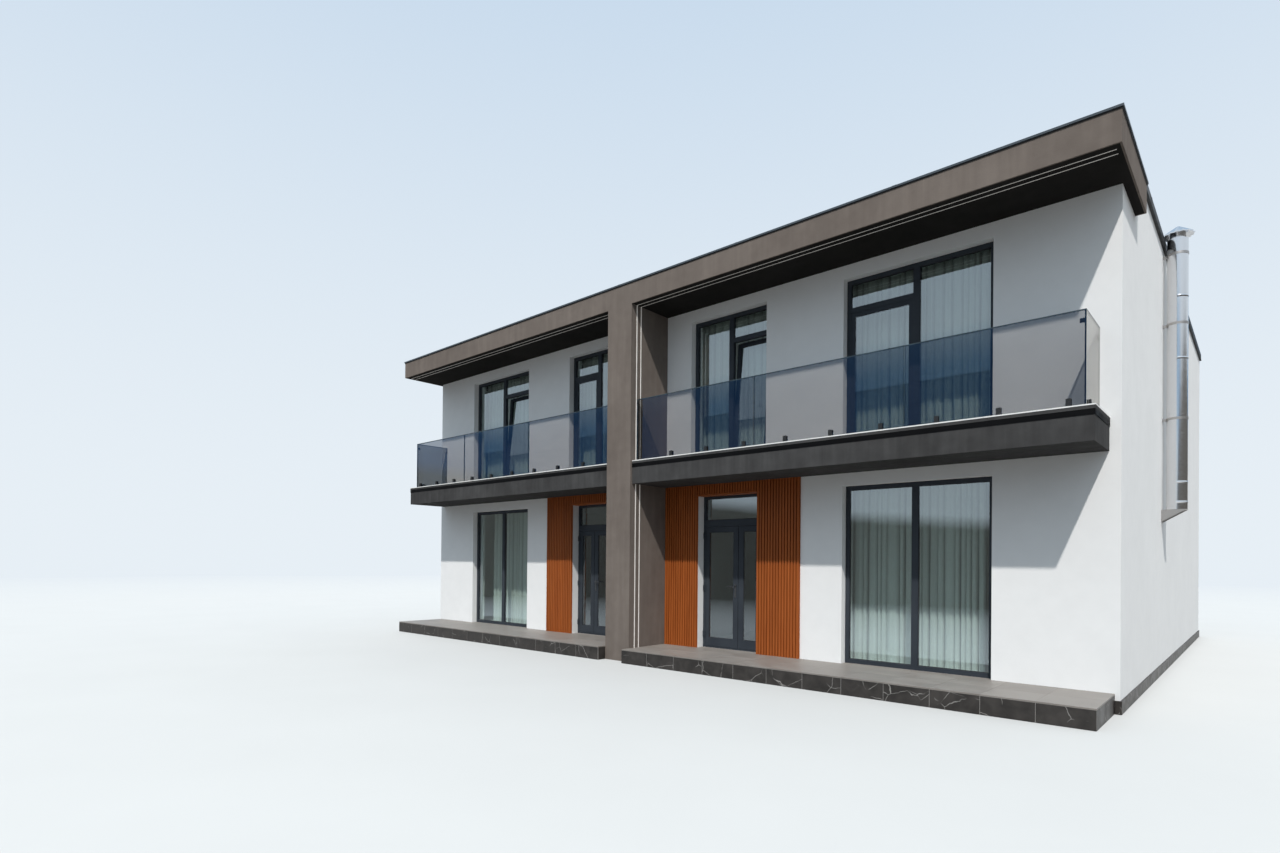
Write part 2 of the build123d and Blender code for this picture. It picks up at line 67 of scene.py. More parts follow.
class Shader:
    """A material and short calls for its nodes. Patterns follow the object's own metres."""

    def __init__(self, name):
        self.material = bpy.data.materials.new(name)
        self.material.use_nodes = True
        self.tree = self.material.node_tree
        self.tree.nodes.clear()
        self.output = self.tree.nodes.new("ShaderNodeOutputMaterial")
        self.place = self.node("ShaderNodeTexCoord").outputs["Object"]

    def node(self, kind, inputs=None, **settings):
        made = self.tree.nodes.new(kind)
        for name, value in settings.items():
            setattr(made, name, value)
        for name, value in (inputs or {}).items():
            if isinstance(value, bpy.types.NodeSocket):
                self.tree.links.new(value, made.inputs[name])
            else:
                made.inputs[name].default_value = value
        return made

    def noise(self, scale, stretch=(1, 1, 1), detail=3.0, warp=0.0, place=None):
        where = self.node("ShaderNodeMapping", {"Vector": place or self.place, "Scale": stretch})
        inputs = {
            "Vector": where.outputs[0], "Scale": scale, "Detail": detail, "Distortion": warp
        }
        return self.node("ShaderNodeTexNoise", inputs).outputs["Fac"]

    def spread(self, value, start, end, low=0.0, high=1.0):
        """Map a value from start..end to low..high, held at both ends."""
        inputs = {
            "Value": value, "From Min": start, "From Max": end, "To Min": low, "To Max": high
        }
        return self.node("ShaderNodeMapRange", inputs).outputs["Result"]

    def math(self, operation, first, second=0.5):
        return self.node("ShaderNodeMath", {0: first, 1: second}, operation=operation).outputs[0]

    def mix(self, factor, low, high, blend="MIX"):
        low, high = (v if isinstance(v, bpy.types.NodeSocket) else (*v, 1) for v in (low, high))
        sockets = {0: factor, 6: low, 7: high}
        return self.node("ShaderNodeMix", sockets, data_type="RGBA", blend_type=blend).outputs[2]

    def shade(self, colour, factor):
        """Multiply a colour by a grey factor."""
        grey = self.node("ShaderNodeCombineColor", {0: factor, 1: factor, 2: factor}).outputs[0]
        return self.mix(1.0, colour, grey, "MULTIPLY")

    def piece_value(self):
        """A number of its own for each loose slat, slab or tile of a joined mesh."""
        return self.node("ShaderNodeNewGeometry").outputs["Random Per Island"]

    def shifted_place(self, reach):
        """Coordinates moved differently on each loose piece, so that patterns don't run on."""
        shift = self.math("MULTIPLY", self.piece_value(), reach)
        return self.node("ShaderNodeVectorMath", {0: self.place, 1: shift}).outputs[0]

    def bump(self, height, distance, strength=1.0):
        inputs = {"Height": height, "Distance": distance, "Strength": strength}
        return self.node("ShaderNodeBump", inputs).outputs["Normal"]

    def finish(self, **inputs):
        """End in a Principled shader whose inputs are given with underscores for spaces."""
        named = {name.replace("_", " "): value for name, value in inputs.items()}
        surface = self.node("ShaderNodeBsdfPrincipled", named).outputs[0]
        return self.end(surface)

    def end(self, surface):
        self.tree.links.new(surface, self.output.inputs["Surface"])
        return self.material


def render_coat(name, pale, deep, grain=0.0012, streaks=0.0, sheen=0.12):
    """Mineral render: cloudy tone, a fine trowelled grain and, if asked, faint vertical runs."""
    s = Shader(name)
    clouds = s.noise(0.9, detail=5.0, warp=0.6)
    patches = s.noise(5.5, detail=4.0)
    tone = s.math("ADD", s.math("MULTIPLY", clouds, 0.65), s.math("MULTIPLY", patches, 0.35))
    colour = s.mix(s.spread(tone, 0.36, 0.64), deep, pale)
    if streaks:
        runs = s.noise(3.2, stretch=(3.0, 3.0, 0.22), detail=5.0)
        colour = s.shade(colour, s.spread(runs, 0.42, 0.7, 1.0, 1.0 + streaks))
    fine = s.noise(260.0, detail=2.0)
    trowel = s.noise(14.0, detail=3.0)
    height = s.math("ADD", fine, s.math("MULTIPLY", trowel, 1.8))
    normal = s.bump(height, grain, 0.7)
    return s.finish(Base_Color=colour, Roughness=0.93, Specular_IOR_Level=sheen, Normal=normal)


def roof_membrane():
    s = Shader("roof_membrane")
    tone = s.spread(s.noise(0.7, detail=6.0, warp=0.8), 0.35, 0.65)
    colour = s.mix(tone, (0.092, 0.094, 0.097), (0.120, 0.122, 0.125))
    height = s.noise(90.0, detail=3.0)
    return s.finish(Base_Color=colour, Roughness=0.85, Normal=s.bump(height, 0.002, 0.6))


def sheet_metal(name, dark, pale, roughness=0.42, sheen=0.5):
    """Coated metal: nearly even colour with a soft orange-peel and slightly varying gloss."""
    s = Shader(name)
    tone = s.spread(s.noise(2.2, detail=4.0), 0.3, 0.7)
    colour = s.mix(tone, dark, pale)
    gloss = s.spread(s.noise(7.0, detail=3.0), 0.3, 0.7, roughness - 0.06, roughness + 0.08)
    normal = s.bump(s.noise(420.0, detail=1.0), 0.0002, 0.4)
    return s.finish(Base_Color=colour, Roughness=gloss, Specular_IOR_Level=sheen, Normal=normal)


def veined_stone(name, dark, pale, vein):
    """Dark porcelain slabs with thin pale veins, different on each slab."""
    s = Shader(name)
    place = s.shifted_place(37.0)
    tone = s.spread(s.noise(5.0, detail=7.0, warp=0.5, place=place), 0.34, 0.66)
    colour = s.mix(tone, dark, pale)
    wander = s.node("ShaderNodeTexNoise", {"Vector": place, "Scale": 7.0, "Detail": 4.0})
    push = {0: wander.outputs["Color"], "Scale": 0.07}
    bend = s.node("ShaderNodeVectorMath", push, operation="SCALE").outputs[0]
    bent = s.node("ShaderNodeVectorMath", {0: place, 1: bend}).outputs[0]
    cells = {"Vector": bent, "Scale": 2.6, "Randomness": 1.0}
    lines = s.node("ShaderNodeTexVoronoi", cells, feature="DISTANCE_TO_EDGE").outputs["Distance"]
    patch = s.spread(s.noise(3.4, detail=3.0, place=place), 0.49, 0.60)
    veins = s.math("MULTIPLY", s.spread(lines, 0.0, 0.011, 0.75, 0.0), patch)
    colour = s.mix(veins, colour, vein)
    gloss = s.spread(tone, 0.0, 1.0, 0.36, 0.52)
    normal = s.bump(tone, 0.0006, 0.4)
    return s.finish(Base_Color=colour, Roughness=gloss, Specular_IOR_Level=0.35, Normal=normal)


def stone_tile(name, dark, pale, upright_face_tone=None):
    """Matt porcelain tiles: long soft clouds, a tone of its own on each tile and, if asked,
    another colour on upright faces than on the tops.
    """
    s = Shader(name)
    place = s.shifted_place(23.0)
    streaks = s.noise(2.6, stretch=(0.5, 1.6, 1.6), detail=7.0, warp=0.7, place=place)
    colour = s.mix(s.spread(streaks, 0.32, 0.68), dark, pale)
    colour = s.shade(colour, s.spread(s.piece_value(), 0.0, 1.0, 0.94, 1.05))
    # Upright faces take the given colour; the tops keep the tile's own colour.
    if upright_face_tone:
        normal = s.node("ShaderNodeTexCoord").outputs["Normal"]
        upward = s.math("ABSOLUTE", s.node("ShaderNodeSeparateXYZ", {0: normal}).outputs["Z"])
        colour = s.mix(s.spread(upward, 0.2, 0.8), upright_face_tone, colour)
    speckle = s.noise(220.0, detail=2.0)
    colour = s.shade(colour, s.spread(speckle, 0.35, 0.65, 0.96, 1.03))
    gloss = s.spread(streaks, 0.3, 0.7, 0.42, 0.58)
    return s.finish(Base_Color=colour, Roughness=gloss, Normal=s.bump(speckle, 0.0004, 0.4))


grazing_gleam = (0.88, 0.86, 0.83)


def pane_glass(name, tint, gleam, mirror):
    """Clear pane: tinted see-through, and a gleam on its outer faces that grows towards grazing.

    The gleam's own colour turns neutral towards grazing."""
    s = Shader(name)
    clear = s.node("ShaderNodeBsdfTransparent", {"Color": (*tint, 1)}).outputs[0]
    ripple = s.noise(1.7, detail=2.0)
    normal = s.bump(ripple, 0.0004)
    facing = s.node("ShaderNodeLayerWeight", {"Blend": 0.5}).outputs["Facing"]
    gleam = s.mix(s.spread(facing, 0.55, 0.80), gleam, grazing_gleam)
    shine = {"Color": gleam, "Roughness": 0.015, "Normal": normal}
    gloss = s.node("ShaderNodeBsdfAnisotropic", shine).outputs[0]
    share = s.spread(s.math("POWER", facing, 4.0), 0.0, 1.0, mirror, 1.0)
    outward = s.math("SUBTRACT", 1.0, s.node("ShaderNodeNewGeometry").outputs["Backfacing"])
    share = s.math("MULTIPLY", share, outward)
    return s.end(s.node("ShaderNodeMixShader", {0: share, 1: clear, 2: gloss}).outputs[0])


def oiled_wood():
    """Orange-brown slats: long grain along Z, each slat a little different."""
    s = Shader("wood_cladding")
    place = s.shifted_place(11.0)
    grain = s.noise(26.0, stretch=(1.6, 1.6, 0.07), detail=6.0, warp=0.5, place=place)
    broad = s.noise(3.0, stretch=(3.0, 3.0, 0.25), detail=3.0, place=place)
    tone = s.math("ADD", s.math("MULTIPLY", grain, 0.6), s.math("MULTIPLY", broad, 0.4))
    colour = s.mix(s.spread(tone, 0.25, 0.75), (0.232, 0.053, 0.010), (0.412, 0.112, 0.024))
    colour = s.shade(colour, s.spread(s.piece_value(), 0.0, 1.0, 0.93, 1.07))
    gloss = s.spread(grain, 0.3, 0.7, 0.42, 0.6)
    normal = s.bump(grain, 0.0009, 0.7)
    return s.finish(Base_Color=colour, Roughness=gloss, Specular_IOR_Level=0.2, Normal=normal)


def brushed_metal(name, tone, roughness, stretch):
    s = Shader(name)
    scratches = s.noise(55.0, stretch=stretch, detail=4.0)
    gloss = s.spread(scratches, 0.3, 0.7, roughness * 0.75, roughness * 1.3)
    dents = s.noise(6.0, detail=2.0)
    height = s.math("ADD", s.math("MULTIPLY", scratches, 0.15), dents)
    dull = tuple(0.82 * c for c in tone)
    colour = s.mix(s.spread(scratches, 0.25, 0.75), dull, tone)
    normal = s.bump(height, 0.0015, 0.35)
    return s.finish(Base_Color=colour, Metallic=1.0, Roughness=gloss, Normal=normal)


def opal_strip():
    s = Shader("light_diffuser")
    tone = s.spread(s.noise(9.0, detail=3.0), 0.3, 0.7)
    colour = s.mix(tone, (0.72, 0.69, 0.65), (0.82, 0.80, 0.76))
    gloss = s.spread(tone, 0.0, 1.0, 0.4, 0.5)
    # Painted glow: the strips are unlit, and a faint emission makes them look lit.
    painted_glow = {"Emission_Color": (1.0, 0.95, 0.88, 1), "Emission_Strength": 0.12}
    return s.finish(Base_Color=colour, Roughness=gloss, **painted_glow)


def sheer_voile():
    """Thin white weave: part see-through, part lit from behind, with painted shade deep in its
    folds.
    """
    s = Shader("sheer_fabric")
    warp_threads = s.node(
        "ShaderNodeTexWave", {"Vector": s.place, "Scale": 90.0, "Distortion": 1.5, "Detail": 1.0},
        wave_type="BANDS", bands_direction="Z",
    ).outputs["Fac"]
    slub = s.noise(16.0, stretch=(1, 1, 9.0), detail=3.0)
    weave = s.math("ADD", s.math("MULTIPLY", warp_threads, 0.4), s.math("MULTIPLY", slub, 0.6))
    colour = s.mix(s.spread(weave, 0.2, 0.8), (0.80, 0.82, 0.80), (0.89, 0.90, 0.885))
    from_middle = s.math("ABSOLUTE", s.node("ShaderNodeSeparateXYZ", {0: s.place}).outputs["Y"])
    # Painted shade: the colour darkens with depth behind the curtain's face, down into the fold
    # valleys.
    colour = s.shade(colour, s.spread(from_middle, fold_valley, fold_crest, 0.30, 1.0))
    cloth = s.node("ShaderNodeBsdfPrincipled", {"Base Color": colour, "Roughness": 0.9}).outputs[0]
    back_lit = s.node("ShaderNodeBsdfTranslucent", {"Color": colour}).outputs[0]
    body = s.node("ShaderNodeMixShader", {0: 0.14, 1: cloth, 2: back_lit}).outputs[0]
    open_share = s.spread(weave, 0.2, 0.8, 0.20, 0.08)
    clear = s.node("ShaderNodeBsdfTransparent").outputs[0]
    return s.end(s.node("ShaderNodeMixShader", {0: open_share, 1: body, 2: clear}).outputs[0])


def rubber_and_painted_shade():
    s = Shader("seal_rubber_and_painted_shade")
    tone = s.spread(s.noise(40.0, detail=2.0), 0.3, 0.7)
    colour = s.mix(tone, (0.010, 0.010, 0.011), (0.018, 0.018, 0.019))
    return s.finish(Base_Color=colour, Roughness=0.7, Normal=s.bump(tone, 0.0003, 0.5))


def glass_edge():
    """Polished cut edge of the tinted guard panes."""
    s = Shader("glass_edge")
    tone = s.spread(s.noise(5.0, detail=2.0), 0.3, 0.7)
    colour = s.mix(tone, (0.018, 0.032, 0.042), (0.035, 0.055, 0.066))
    gloss = s.spread(tone, 0.0, 1.0, 0.16, 0.24)
    return s.finish(Base_Color=colour, Roughness=gloss)


def mortar(name, dark, pale):
    s = Shader(name)
    tone = s.spread(s.noise(120.0, detail=3.0), 0.3, 0.7)
    colour = s.mix(tone, dark, pale)
    return s.finish(Base_Color=colour, Roughness=0.95, Normal=s.bump(tone, 0.001, 0.6))


# One finish for each material slot of the record
finishes = {
    "white_render": render_coat(
        "white_render", (0.86, 0.86, 0.855), (0.82, 0.82, 0.815), grain=0.0008
    ),
    "roof_membrane": roof_membrane(),
    "taupe_render": render_coat(
        "taupe_render", (0.184, 0.155, 0.135), (0.148, 0.123, 0.107), grain=0.0016, streaks=0.12
    ),
    "charcoal_render": render_coat(
        "charcoal_render", (0.067, 0.066, 0.066), (0.046, 0.045, 0.045),
        grain=0.0016, streaks=0.22, sheen=0.05,
    ),
    "soffit_render": render_coat(
        "soffit_render", (0.0245, 0.0228, 0.0215), (0.0165, 0.0155, 0.0145), sheen=0.05
    ),
    "dark_metal": sheet_metal(
        "dark_metal", (0.009, 0.0095, 0.011), (0.015, 0.016, 0.018), roughness=0.5, sheen=0.3
    ),
    "dark_stone": veined_stone(
        "dark_stone", (0.022, 0.019, 0.017), (0.048, 0.042, 0.038), vein=(0.5, 0.48, 0.45)
    ),
    "grey_tile": stone_tile(
        "grey_tile", (0.36, 0.355, 0.345), (0.44, 0.435, 0.425), upright_face_tone=(0.86, 0.85, 0.83)
    ),
    "porch_tile": stone_tile("porch_tile", (0.202, 0.180, 0.161), (0.268, 0.245, 0.223)),
    "anthracite_frame": sheet_metal(
        "anthracite_frame", (0.030, 0.036, 0.045), (0.041, 0.049, 0.060), roughness=0.4, sheen=0.16
    ),
    "window_glass": pane_glass(
        "window_glass", tint=(0.88, 0.935, 0.915), gleam=(0.84, 0.94, 1.0), mirror=0.26
    ),
    "tinted_glass": pane_glass(
        "tinted_glass", tint=(0.618, 0.618, 0.612), gleam=(0.20, 0.46, 0.86), mirror=0.055
    ),
    "black_fitting": sheet_metal(
        "black_fitting", (0.010, 0.010, 0.011), (0.017, 0.017, 0.018), roughness=0.45
    ),
    "brushed_handle": brushed_metal(
        "brushed_handle", (0.15, 0.15, 0.155), roughness=0.3, stretch=(1.0, 6.0, 6.0)
    ),
    "polished_flue": brushed_metal(
        "polished_flue", (0.82, 0.82, 0.83), roughness=0.17, stretch=(0.4, 0.4, 12.0)
    ),
    "light_diffuser": opal_strip(),
    "wood_cladding": oiled_wood(),
    "sheer_fabric": sheer_voile(),
}
# Nodes whose look departs from the rest of their slot
node_finishes = {
    # Painted shade: the drips are near black to stand for the shadow under the balcony's tile
    # edge.
    "balcony_drips": sheet_metal(
        "drip_metal_painted_shade", (0.002, 0.002, 0.0024), (0.004, 0.004, 0.0046), roughness=0.6, sheen=0.08
    ),
    "flue_brackets": brushed_metal(
        "bracket_metal", (0.52, 0.495, 0.475), roughness=0.36, stretch=(5.0, 5.0, 1.0)
    ),
}
door_glass = pane_glass(
    "door_glass", tint=(0.80, 0.85, 0.84), gleam=(0.84, 0.92, 0.98), mirror=0.19
)
for home in SIDES:
    for leaf in DOORS:
        node_finishes[f"{home}_{leaf}_door_glass"] = door_glass
cap_metal = sheet_metal(
    "cap_metal", (0.050, 0.062, 0.074), (0.064, 0.079, 0.094), roughness=0.4, sheen=0.4
)
# Black rubber for the pane seals, also used as painted shade in the visor caps' gaps.
seal_rubber_and_painted_shade = rubber_and_painted_shade()
guard_edge_finish = glass_edge()
joint_mortar = mortar("joint_mortar", (0.20, 0.19, 0.18), (0.30, 0.29, 0.275))
pale_mortar = mortar("pale_mortar", (0.38, 0.365, 0.345), (0.50, 0.48, 0.455))

for part in frame["record"]["subparts"]:
    for material_slot in frame["nodes"][part["node"]].material_slots:
        material_slot.material = node_finishes.get(part["node"], finishes[part["material_slot"]])


# Mesh helpers

weld_distance = 1e-5


def add_box(bm, x_limits, y_limits, z_limits, bevel=0.0):
    """A box between pairs of limits, with its edges eased."""
    low = Vector((min(x_limits), min(y_limits), min(z_limits)))
    high = Vector((max(x_limits), max(y_limits), max(z_limits)))
    place = Matrix.Translation((low + high) / 2) @ Matrix.Diagonal((*(high - low), 1))
    corners = bmesh.ops.create_cube(bm, size=1.0, matrix=place)["verts"]
    if bevel:
        edges = list({edge for corner in corners for edge in corner.link_edges})
        bmesh.ops.bevel(bm, geom=edges, offset=bevel, segments=1, affect="EDGES")


def add_prism(bm, outline, z_low, z_high):
    """A closed outline of (x, y) points drawn up from z_low to z_high."""
    bottom = [bm.verts.new((x, y, z_low)) for x, y in outline]
    top = [bm.verts.new((x, y, z_high)) for x, y in outline]
    bm.faces.new(bottom[::-1])
    bm.faces.new(top)
    for i in range(len(outline)):
        j = (i + 1) % len(outline)
        bm.faces.new((bottom[i], bottom[j], top[j], top[i]))


def place_piece(name, bm, material, body=HOUSE, replaces=(), smooth=False):
    """Turn built mesh data into a piece that rides on its body."""
    bmesh.ops.recalc_face_normals(bm, faces=bm.faces)
    mesh = bpy.data.meshes.new(name)
    bm.to_mesh(mesh)
    bm.free()
    mesh.materials.append(material)
    if smooth:
        mesh.shade_smooth()
    piece = bpy.data.objects.new(name, mesh)
    bpy.context.scene.collection.objects.link(piece)
    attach(piece, body)
    if replaces:
        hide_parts(*replaces)
    return piece


def solids_of(node):
    """The corner points of each separate solid in a node."""
    bm = bmesh.new()
    bm.from_mesh(frame["nodes"][node].data)
    bmesh.ops.remove_doubles(bm, verts=bm.verts, dist=weld_distance)
    left = set(bm.verts)
    solids = []
    while left:
        reached = {left.pop()}
        border = list(reached)
        while border:
            for edge in border.pop().link_edges:
                for corner in edge.verts:
                    if corner not in reached:
                        reached.add(corner)
                        border.append(corner)
        left -= reached
        solids.append([corner.co.copy() for corner in reached])
    bm.free()
    return sorted(solids, key=lambda points: tuple(round(v, 4) for v in min(points, key=tuple)))


def limits_of(points):
    """((x low, x high), (y low, y high), (z low, z high)) of some points."""
    return tuple((min(p[i] for p in points), max(p[i] for p in points)) for i in range(3))


def even_cuts(start, end, pitch):
    """Edges that divide a length evenly into pieces of about the given pitch."""
    count = max(1, round(abs(end - start) / pitch))
    return [start + (end - start) * i / count for i in range(count + 1)]


# Wood slats around the entrance

slat_pitch = 0.055
slat_gap = 0.017
board_depth = 0.010
slat_round = 0.004
nose_share = 0.3
head_trim = 0.016
trim_bevel = 0.002
lining_bevel = 0.001
sheet = 0.002


def slat_outline(x_low, x_high, y_front, y_back):
    """Section of one slat with its two front edges rounded."""
    left = [(x_low, y_back), (x_low, y_front + slat_round)]
    cut = slat_round * nose_share
    nose = [(x_low + cut, y_front + cut), (x_low + slat_round, y_front)]
    half = left + nose
    return half + [(x_low + x_high - x, y) for x, y in reversed(half)]


def build_cladding():
    (_, y_front, z_low), (cladding_end, y_back, z_high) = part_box("wood_cladding")
    door_low, door_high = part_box("right_door_frame")
    board_front = y_back - board_depth
    bm = bmesh.new()
    for side in SIDES.values():
        runs = (
            (fin_half, door_low.x, z_low),
            (door_low.x, door_high.x, door_high.z + head_trim),
            (door_high.x, cladding_end, z_low),
        )
        for start, end, bottom in runs:
            cuts = even_cuts(start, end, slat_pitch)
            add_box(bm, (side * start, side * end), (board_front, y_back), (bottom, z_high))
            for low, high in zip(cuts, cuts[1:]):
                xs = sorted((side * (low + slat_gap / 2), side * (high - slat_gap / 2)))
                add_prism(bm, slat_outline(*xs, y_front, board_front), bottom, z_high)
        trim = (door_high.z, door_high.z + head_trim)
        head = (side * door_low.x, side * door_high.x)
        add_box(bm, head, (y_front, y_back), trim, trim_bevel)
        lining = (door_high.z - board_depth, door_high.z)
        lining_x = (side * (door_low.x + sheet), side * (door_high.x - sheet))
        add_box(bm, lining_x, (y_front, door_low.y - sheet), lining, lining_bevel)
    slot = "wood_cladding"
    place_piece("cladding_slats", bm, finishes[slot], replaces=["wood_cladding"])


# Stone and tile coverings, laid as separate slabs on a mortar bed

joint = 0.003
bed_depth = 0.0025
slab_bevel = 0.0012
tile_pitch = 0.600
deck_rows = 2
balcony_tile_depth = 0.016


def lay_tiles(bm, x_cuts, y_cuts, z_low, z_high):
    """A flat field of tiles with open joints."""
    for x_low, x_high in zip(x_cuts, x_cuts[1:]):
        for y_low, y_high in zip(y_cuts, y_cuts[1:]):
            xs = (x_low + joint / 2, x_high - joint / 2)
            ys = (y_low + joint / 2, y_high - joint / 2)
            add_box(bm, xs, ys, (z_low, z_high), slab_bevel)


def reveal_fields(points):
    """The one-row fields where a home's porch tiles run into its door and window reveals."""
    fields = []
    for depth in sorted({round(p.y, 4) for p in points if p.y > front_face + joint}):
        xs = [p.x for p in points if abs(p.y - depth) < joint / 2]
        fields.append(((min(xs), max(xs)), (front_face, depth), 1))
    return fields


def tile_decks(name, node, slot, bed_finish, tile_depth=None):
    """Tiles of both homes in place of a deck's plain covering, with the bed between and below.

    Tiles without a depth of their own are as deep as the covering."""
    tiles = bmesh.new()
    grout = bmesh.new()
    edge = joint / 2 + bed_depth
    for points in solids_of(node):
        deck_x, deck_y, (z_low, z_high) = limits_of(points)
        tile_bottom = max(z_low, z_high - tile_depth) if tile_depth else z_low
        deck = (deck_x, (deck_y[0], min(deck_y[1], front_face)), deck_rows)
        for xs, ys, rows in [deck] + reveal_fields(points):
            x_cuts = even_cuts(*xs, tile_pitch)
            y_cuts = even_cuts(*ys, (ys[1] - ys[0]) / rows)
            lay_tiles(tiles, x_cuts, y_cuts, tile_bottom, z_high)
            bed = (z_low, z_high - bed_depth)
            add_box(grout, (xs[0] + edge, xs[1] - edge), (ys[0] + edge, ys[1] - edge), bed)
    place_piece(f"{name}_tiles_laid", tiles, finishes[slot], replaces=[node])
    place_piece(f"{name}_bed", grout, bed_finish)


riser_slab = 0.010
riser_pitch = 0.600


def build_porch_risers():
    """Veined slabs on the porch's front and both ends, around its core."""
    slabs = bmesh.new()
    core = bmesh.new()
    for points in solids_of("porches"):
        (x_low, x_high), (y_low, y_high), (z_low, z_high) = limits_of(points)
        outward = 1 if x_high > 0 else -1
        end, inner = (x_high, x_low) if outward > 0 else (x_low, x_high)
        cuts = even_cuts(end, inner, riser_pitch)
        for a, b in zip(cuts, cuts[1:]):
            xs = (min(a, b) + joint / 2, max(a, b) - joint / 2)
            add_box(slabs, xs, (y_low, y_low + riser_slab), (z_low, z_high), slab_bevel)
        side_cuts = even_cuts(y_low + riser_slab, y_high, riser_pitch)
        for face, way in ((end, outward), (inner, -outward)):
            layer = (face - way * riser_slab, face)
            for a, b in zip(side_cuts, side_cuts[1:]):
                add_box(slabs, layer, (a + joint / 2, b - joint / 2), (z_low, z_high), slab_bevel)
        core_x = (inner + outward * slab_bevel, end - outward * slab_bevel)
        add_box(core, core_x, (y_low + slab_bevel, y_high), (z_low, z_high))
    slot = "dark_stone"
    place_piece("porch_riser_slabs", slabs, finishes[slot], replaces=["porches"])
    place_piece("porch_core", core, pale_mortar)


def build_plinths():
    """Slabs of the side and rear plinths, upright on their edge."""
    slabs = bmesh.new()
    bed = bmesh.new()
    (x_outer, y_outer, z_high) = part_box("rear_plinth")[1]
    front_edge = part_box("side_plinths")[0].y
    porch_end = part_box("porches")[1].x
    for side in SIDES.values():
        layer = (side * side_face, side * x_outer)
        cuts = even_cuts(front_edge, back_face, riser_pitch)
        for a, b in zip(cuts, cuts[1:]):
            add_box(slabs, layer, (a + joint / 2, b - joint / 2), (0, z_high), slab_bevel)
        bed_layer = (side * side_face, side * (x_outer - bed_depth))
        add_box(bed, bed_layer, (front_edge + bed_depth, back_face), (0, z_high - bed_depth))
        corner = (side * (porch_end + joint), side * side_face)
        add_box(slabs, corner, (front_edge, front_face), (0, z_high), slab_bevel)
    layer = (back_face, y_outer)
    cuts = even_cuts(-x_outer, x_outer, riser_pitch)
    for a, b in zip(cuts, cuts[1:]):
        add_box(slabs, (a + joint / 2, b - joint / 2), layer, (0, z_high), slab_bevel)
    rear_bed = (back_face, y_outer - bed_depth)
    add_box(bed, (-x_outer + bed_depth, x_outer - bed_depth), rear_bed, (0, z_high - bed_depth))
    slot = "dark_stone"
    nodes = ["side_plinths", "rear_plinth"]
    place_piece("plinth_slabs", slabs, finishes[slot], replaces=nodes)
    place_piece("plinth_bed", bed, joint_mortar)


# Folded sheet: window sills and the straps over the joints of the copings

sill_overhang = 0.028
sill_lip = 0.022
strap_width = 0.06
strap_pitch = 2.4
cap_gap = 0.014
cap_recess = 0.012
run_tolerance = 1e-3


def openings_of(nodes):
    """(x low, x high, sill height, outer face, way out) of each window frame's opening."""
    found = []
    for node in nodes:
        for points in solids_of(node):
            (x_low, x_high), (y_low, y_high), (z_low, _) = limits_of(points)
            way = -1 if y_low < 0 else 1
            found.append((x_low, x_high, z_low, y_low if way < 0 else y_high, way))
    return found


def build_sills():
    """A thin sill with a turned-down lip under each window that has no porch in front of it."""
    porch_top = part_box("porch_tiles")[1].z
    bm = bmesh.new()
    frames = ["right_window_frames", "left_window_frames", "rear_window_frames"]
    for x_low, x_high, sill_z, frame_y, way in openings_of(frames):
        if way < 0 and sill_z < porch_top + joint:
            continue
        nose_y = (front_face if way < 0 else back_face) + way * sill_overhang
        xs = (x_low + joint, x_high - joint)
        add_box(bm, xs, (frame_y, nose_y), (sill_z, sill_z + sheet))
        add_box(bm, xs, (nose_y, nose_y - way * sheet), (sill_z - sill_lip, sill_z))
    place_piece("window_sills", bm, finishes["dark_metal"])


def add_strap_row(bm, points, along, places):
    """Straps that follow a coping's own section, a little proud of it, along its run."""
    start = min(p[along] for p in points)
    section = [p for p in points if abs(p[along] - start) < run_tolerance]
    centre = sum(section, Vector()) / len(section)
    across = 1 - along
    section.sort(key=lambda p: math.atan2(p.z - centre.z, p[across] - centre[across]))
    outline = [p + (p - centre).normalized() * sheet for p in section]
    for place in places:
        rings = []
        for shift in (-strap_width / 2, strap_width / 2):
            ring = []
            for p in outline:
                corner = p.copy()
                corner[along] = place + shift
                ring.append(bm.verts.new(corner))
            rings.append(ring)
        bm.faces.new(rings[0])
        bm.faces.new(rings[1][::-1])
        for i in range(len(outline)):
            j = (i + 1) % len(outline)
            bm.faces.new((rings[0][i], rings[0][j], rings[1][j], rings[1][i]))


def build_visor_caps():
    """The visor's folded caps: a thin upright face, and a gap set back below it in black, as
    painted shade.
    """
    caps = bmesh.new()
    gaps = bmesh.new()
    for points in solids_of("visor_coping") + solids_of("visor_return_copings"):
        xs, ys, (z_low, z_high) = limits_of(points)
        fold = z_low + cap_gap
        add_box(caps, xs, ys, (fold, z_high))
        left_inset = cap_recess if xs[0] < 0 else 0.0
        right_inset = cap_recess if xs[1] > 0 else 0.0
        front_inset = cap_recess if ys[0] < front_face - joint else 0.0
        rear_inset = cap_recess if ys[1] > front_face + joint else 0.0
        gap_x = (xs[0] + left_inset, xs[1] - right_inset)
        gap_y = (ys[0] + front_inset, ys[1] - rear_inset)
        add_box(gaps, gap_x, gap_y, (z_low, fold))
    nodes = ["visor_coping", "visor_return_copings"]
    place_piece("visor_caps", caps, cap_metal, replaces=nodes)
    # Painted shade: the recessed gap takes the black rubber finish, standing for the shadow under
    # the cap's face.
    place_piece("visor_cap_gaps", gaps, seal_rubber_and_painted_shade)


def build_straps():
    """Cover straps where the lengths of coping meet."""
    bm = bmesh.new()
    half = strap_width / 2
    low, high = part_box("visor_coping")
    for x in even_cuts(low.x, high.x, strap_pitch)[1:-1]:
        add_box(bm, (x - half, x + half), (low.y, high.y), (high.z, high.z + sheet))
    for node, along in (("side_copings", 1), ("cross_copings", 0)):
        for points in solids_of(node):
            run = limits_of(points)[along]
            add_strap_row(bm, points, along, even_cuts(*run, strap_pitch)[1:-1])
    place_piece("coping_straps", bm, finishes["dark_metal"])


# Roofing sheet: laps between its lengths and an upstand along the parapets

lap_pitch = 1.0
lap_width = 0.10
lap_height = 0.004
upstand_height = 0.15


